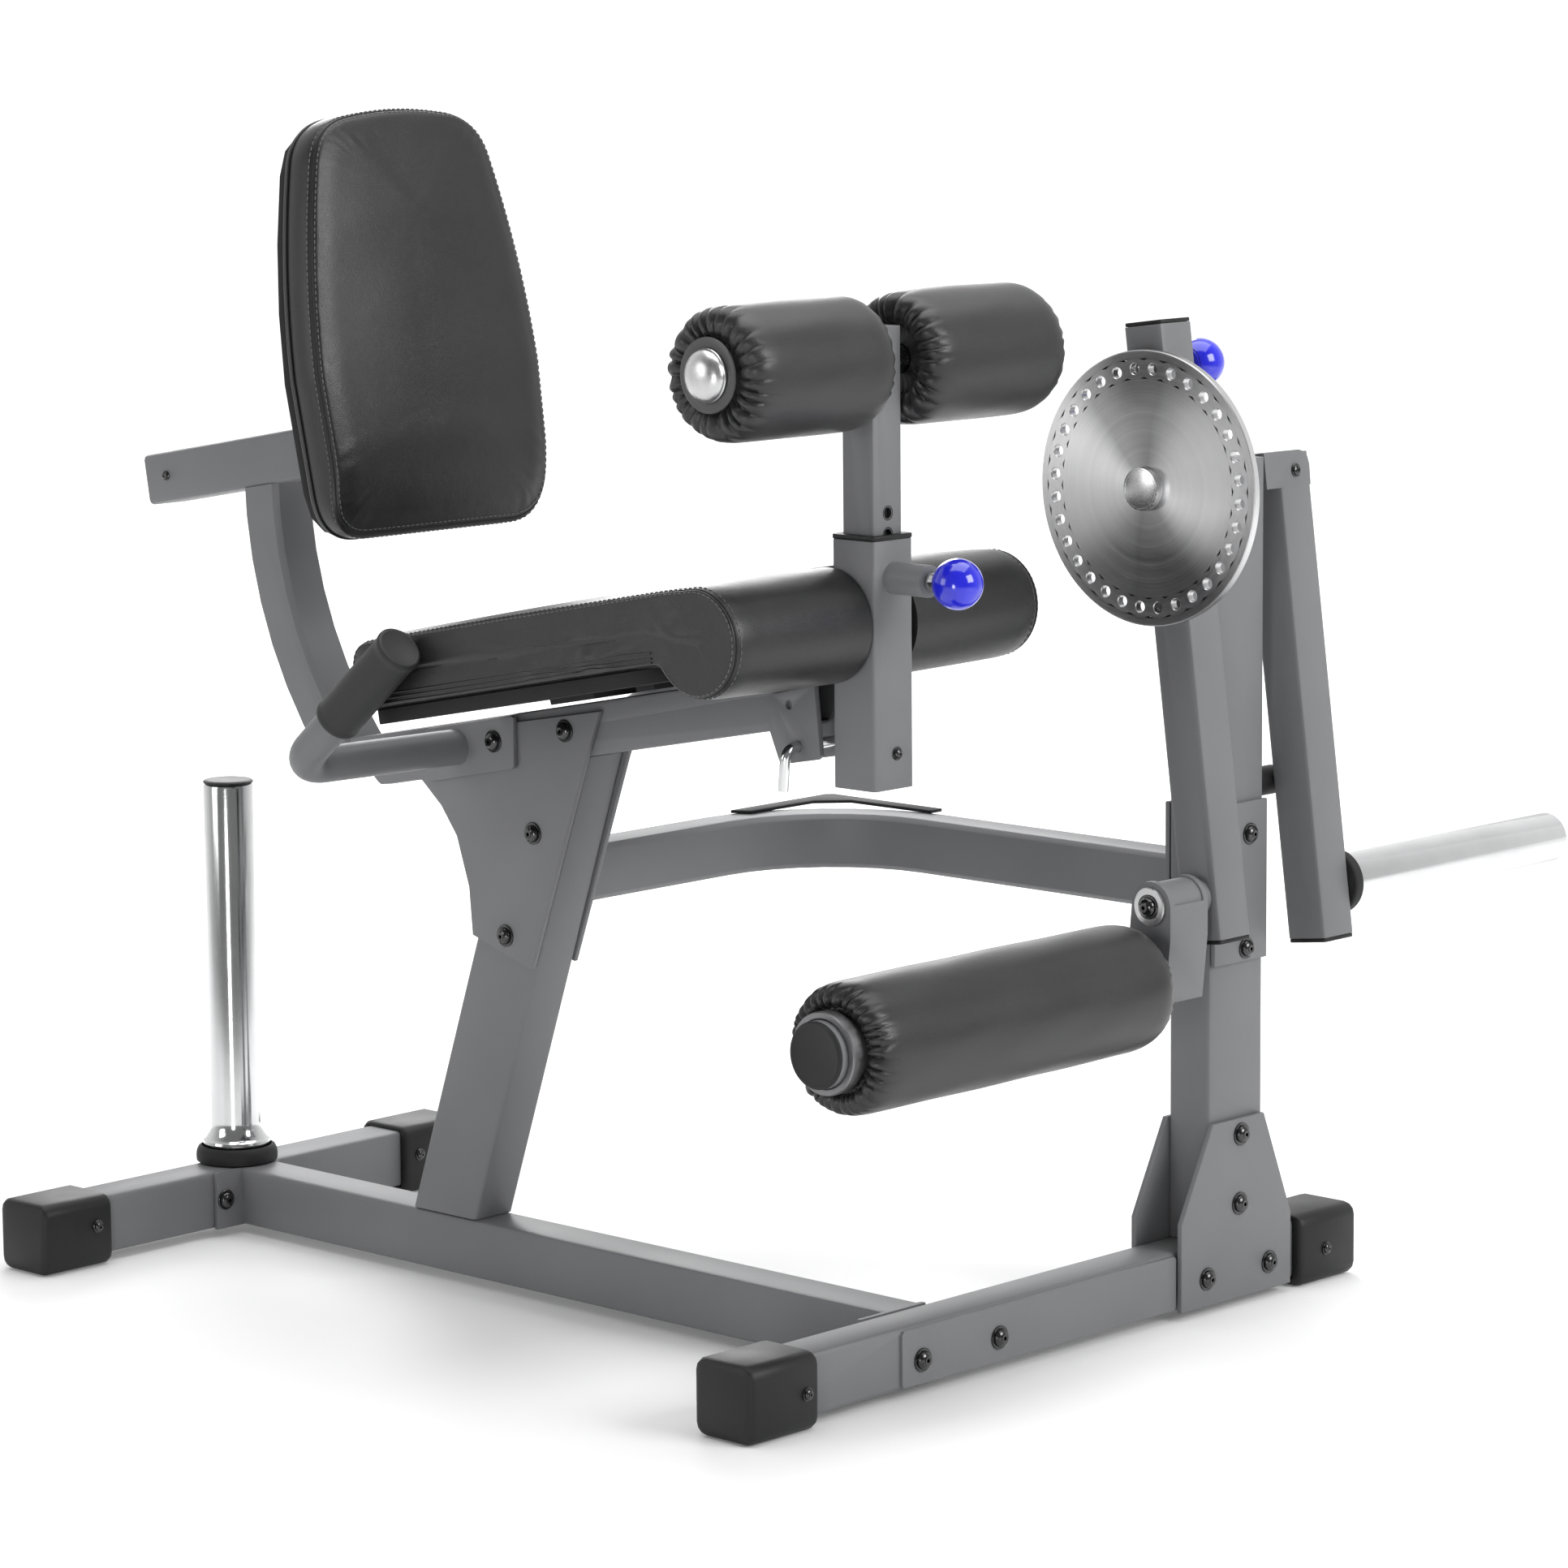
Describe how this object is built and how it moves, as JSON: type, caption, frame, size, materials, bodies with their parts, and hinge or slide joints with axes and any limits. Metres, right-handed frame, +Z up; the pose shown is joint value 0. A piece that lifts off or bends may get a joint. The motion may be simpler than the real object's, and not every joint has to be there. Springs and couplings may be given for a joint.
{
  "type": "leg extension and leg curl machine",
  "caption": "Seated plate-loaded leg extension and leg curl machine: padded seat and sliding backrest, height-adjustable thigh rollers, ankle roller on a swing arm with a hole-disc selector.",
  "frame": {"origin": "on the floor, at the centre of the bounding box seen from above", "axes": "+X is the way the seated person faces, +Y is to their left, +Z is up"},
  "size_m": [1.1604, 1.1506, 1.1325],
  "materials": {
    "paint_grey": "satin powder coat, mid grey",
    "paint_dark": "satin black paint",
    "plastic_black": "moulded black plastic with a fine grain",
    "rubber_black": "matt black rubber",
    "chrome": "bright chrome plate",
    "steel_brushed": "turned and brushed steel",
    "bearing_brass": "plain sintered bush",
    "vinyl_black": "black grained upholstery vinyl with a soft sheen",
    "board": "plywood board with black backing cloth",
    "knob_blue": "glossy blue plastic ball on a steel plunger"
  },
  "bodies": {
    "frame": {"front_stabilizer": "paint_grey", "rear_stabilizer": "paint_grey", "main_rail": "paint_grey", "foot_cap_front_near": "plastic_black", "foot_cap_front_far": "plastic_black", "foot_cap_rear_near": "plastic_black", "foot_cap_rear_far": "plastic_black", "upright_post": "paint_grey", "post_gusset_front": "paint_grey", "post_gusset_rear": "paint_grey", "curved_brace": "paint_grey", "brace_corner_plate": "paint_dark", "brace_clamp_plate": "paint_grey", "storage_horn": "chrome", "horn_rubber_ring": "rubber_black", "horn_top_cap": "plastic_black", "seat_post": "paint_grey", "seat_frame": "paint_grey", "seat_side_plate_near": "paint_grey", "seat_side_plate_far": "paint_grey", "backrest_post": "paint_grey", "slide_bush": "plastic_black", "seat_cushion": "vinyl_black", "seat_board": "board", "handle_tube_near": "paint_grey", "grip_near": "rubber_black", "handle_tube_far": "paint_grey", "grip_far": "rubber_black", "thigh_post_outer": "paint_grey", "thigh_post_bush": "plastic_black", "shaft_bearing_near": "bearing_brass", "shaft_bearing_far": "bearing_brass", "rest_buffer": "rubber_black"},
    "backrest": {"backrest_inner_tube": "paint_grey", "back_board": "board", "back_cushion": "vinyl_black"},
    "thigh_holder": {"thigh_inner_tube": "paint_grey", "thigh_cross_pipe": "steel_brushed", "thigh_pipe_cap_near": "chrome", "thigh_pipe_cap_far": "chrome"},
    "thigh_roller_n": {"thigh_roller_near": "vinyl_black"},
    "thigh_roller_f": {"thigh_roller_far": "vinyl_black"},
    "thigh_pin": {"thigh_pull_pin": "knob_blue"},
    "rotor": {"main_shaft": "steel_brushed", "selector_disc": "steel_brushed", "weight_arm": "paint_grey", "weight_arm_bottom_plug": "plastic_black", "weight_sleeve": "chrome", "sleeve_collar": "rubber_black"},
    "swing": {"swing_arm": "paint_grey", "swing_arm_top_plug": "plastic_black", "swing_arm_bottom_plug": "plastic_black", "swivel_pin": "steel_brushed"},
    "selector_pin": {"selector_pull_pin": "knob_blue"},
    "ankle_carrier": {"roller_bracket": "paint_grey", "ankle_pipe": "paint_grey", "ankle_collar": "steel_brushed", "ankle_pipe_cap": "plastic_black"},
    "ankle_roll": {"ankle_roller": "vinyl_black"},
    "lock_pin": {"seat_lock_pin": "chrome"}
  },
  "joints": [
    {"name": "backrest_slide", "type": "slide", "parent": "frame", "child": "backrest", "axis": [0.9854, 0, 0.1702], "range_m": [-0.06, 0.06]},
    {"name": "thigh_height", "type": "slide", "parent": "frame", "child": "thigh_holder", "axis": [0, 0, 1], "range_m": [-0.0573, 0.0573]},
    {"name": "thigh_roller_near_spin", "type": "hinge", "parent": "thigh_holder", "child": "thigh_roller_n", "pos_m": [0.39228, -0.4063, 0.9192], "axis": [0, 1, 0], "continuous": true},
    {"name": "thigh_roller_far_spin", "type": "hinge", "parent": "thigh_holder", "child": "thigh_roller_f", "pos_m": [0.39228, -0.1823, 0.9192], "axis": [0, 1, 0], "continuous": true},
    {"name": "thigh_pin_pull", "type": "slide", "parent": "frame", "child": "thigh_pin", "axis": [1, 0, 0], "range_m": [0, 0.012], "stiffness_N_per_m": 600, "springref_m": -0.01},
    {"name": "arm_swing", "type": "hinge", "parent": "frame", "child": "rotor", "pos_m": [0.45278, 0.1167, 0.7859], "axis": [0, -1, 0], "range_deg": [0, 90]},
    {"name": "start_position", "type": "hinge", "parent": "rotor", "child": "swing", "pos_m": [0.45278, 0.0507, 0.7859], "axis": [0, -1, 0], "range_deg": [0, 45]},
    {"name": "selector_pin_pull", "type": "slide", "parent": "swing", "child": "selector_pin", "axis": [0, 1, 0], "range_m": [0, 0.012], "stiffness_N_per_m": 600, "springref_m": -0.01},
    {"name": "ankle_swivel", "type": "hinge", "parent": "swing", "child": "ankle_carrier", "pos_m": [0.50128, -0.0113, 0.408], "axis": [0, -1, 0], "range_deg": [-30, 30]},
    {"name": "ankle_roller_spin", "type": "hinge", "parent": "ankle_carrier", "child": "ankle_roll", "pos_m": [0.49608, -0.2623, 0.3363], "axis": [0, 1, 0], "continuous": true},
    {"name": "lock_pin_pull", "type": "slide", "parent": "frame", "child": "lock_pin", "axis": [0, -1, 0], "range_m": [0, 0.06]}
  ]
}
